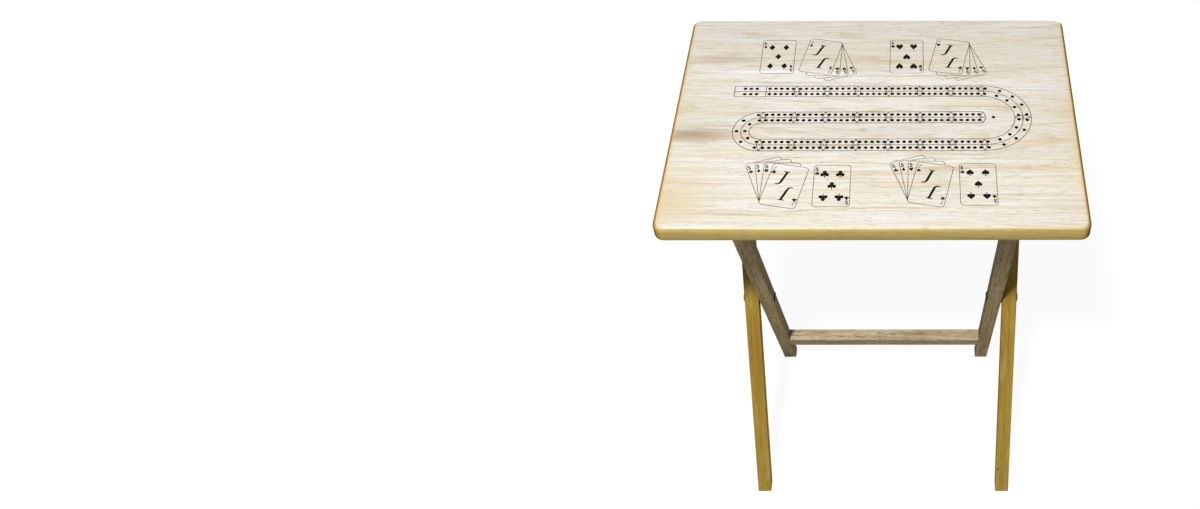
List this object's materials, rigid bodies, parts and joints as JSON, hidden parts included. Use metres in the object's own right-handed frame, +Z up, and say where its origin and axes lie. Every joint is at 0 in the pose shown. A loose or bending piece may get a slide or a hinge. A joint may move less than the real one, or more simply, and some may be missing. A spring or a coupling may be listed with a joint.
{
  "type": "folding table",
  "caption": "Small wooden folding tray table on crossed legs, its lift-off top drilled with a peg-game track; the legs close like scissors and the top tips up on a rod.",
  "frame": {"origin": "on the floor under the middle of the top", "axes": "+Z up, +X along the long side to the sitter's right, -Y towards the sitter"},
  "size_m": [0.483, 0.375, 0.64],
  "materials": {
    "top_wood": "clear satin lacquer",
    "outer_leg_wood": "clear satin lacquer",
    "frame_wood": "clear satin lacquer",
    "dowel_wood": "turned, clear lacquer",
    "black_steel": "black oxide",
    "zinc_steel": "zinc plated",
    "black_nylon": "moulded matt"
  },
  "bodies": {
    "outer_frame": {"outer_leg_left": "outer_leg_wood", "outer_leg_right": "outer_leg_wood", "upper_rail": "outer_leg_wood", "upper_rail_dowels": "dowel_wood", "pivot_bolt_left": "black_steel", "pivot_bolt_right": "black_steel", "pivot_washer_left": "black_nylon", "pivot_washer_right": "black_nylon", "pivot_nut_left": "black_steel", "pivot_nut_right": "black_steel", "hinge_rod": "dowel_wood", "hinge_screws": "black_steel"},
    "inner_frame": {"inner_leg_left": "frame_wood", "inner_leg_right": "frame_wood", "lower_rail": "frame_wood", "lower_rail_dowels": "dowel_wood", "rest_rod": "dowel_wood"},
    "top": {"top_panel": "top_wood", "batten_left": "frame_wood", "batten_right": "frame_wood", "batten_screws": "zinc_steel", "catch_left": "black_nylon", "catch_right": "black_nylon", "catch_screws": "zinc_steel"}
  },
  "joints": [
    {"name": "legs_fold", "type": "hinge", "parent": "outer_frame", "child": "inner_frame", "pos_m": [0, -0.0075, 0.305], "axis": [-1, 0, 0], "range_deg": [0, 40]},
    {"name": "top_tip", "type": "hinge", "parent": "outer_frame", "child": "top", "pos_m": [0, 0.11882, 0.606], "axis": [-1, 0, 0], "range_deg": [0, 112]}
  ],
  "couplings": [
    {"joint": "top_tip", "follows": "legs_fold", "ratio": 2.8}
  ]
}
